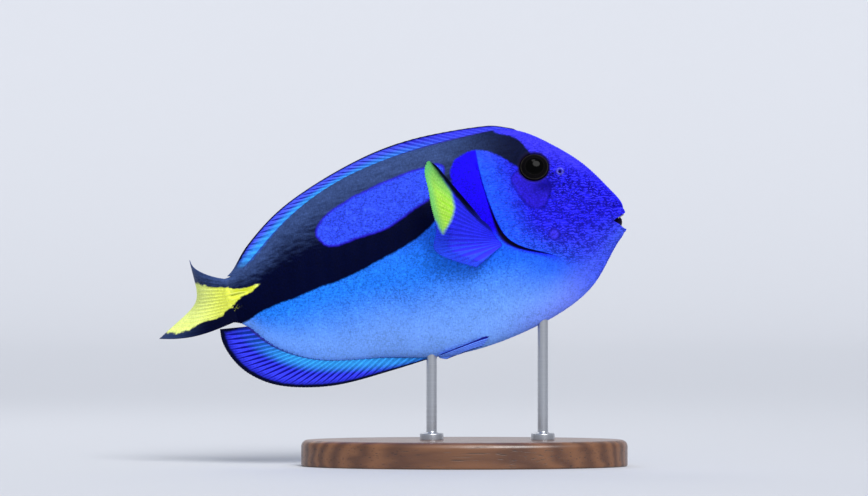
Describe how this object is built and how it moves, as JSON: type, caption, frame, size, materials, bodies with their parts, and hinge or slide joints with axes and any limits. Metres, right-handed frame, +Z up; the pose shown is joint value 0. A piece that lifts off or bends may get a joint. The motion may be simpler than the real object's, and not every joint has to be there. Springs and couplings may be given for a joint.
{
  "type": "regal blue tang model",
  "caption": "Life-size regal blue tang swimming head-up with spread pectoral fins and a flexed tail, held by rods on an oval display stand.",
  "frame": {"origin": "middle of the foot of the display stand, on the surface it rests on", "axes": "+X towards the fish's head, +Y towards the fish's left, +Z up; the fish's own axis is tipped 12 degrees head-up"},
  "size_m": [0.1795, 0.062, 0.1292],
  "materials": {
    "skin_blue": "satin, finely scaled royal blue with black bands",
    "skin_black": "satin, finely scaled blue-black with a yellow wedge",
    "fin_blue": "satin, ribbed by rays, black at the margin",
    "fin_yellow": "satin yellow with black edges",
    "fin_pectoral": "satin blue with a yellow outer part",
    "eye": "polished dark brown",
    "stand_wood": "satin walnut",
    "stand_steel": "brushed"
  },
  "bodies": {
    "root": {"head": "skin_blue", "trunk": "skin_blue", "tail_stem": "skin_black", "dorsal_fin": "fin_blue", "anal_fin": "fin_blue", "caudal_fin": "fin_yellow", "eye_right": "eye", "eye_left": "eye", "pectoral_fin_right": "fin_pectoral", "pectoral_fin_left": "fin_pectoral", "pelvic_fin_right": "fin_blue", "pelvic_fin_left": "fin_blue", "stand_base": "stand_wood", "stand_rod_front": "stand_steel", "stand_rod_rear": "stand_steel"}
  },
  "joints": []
}
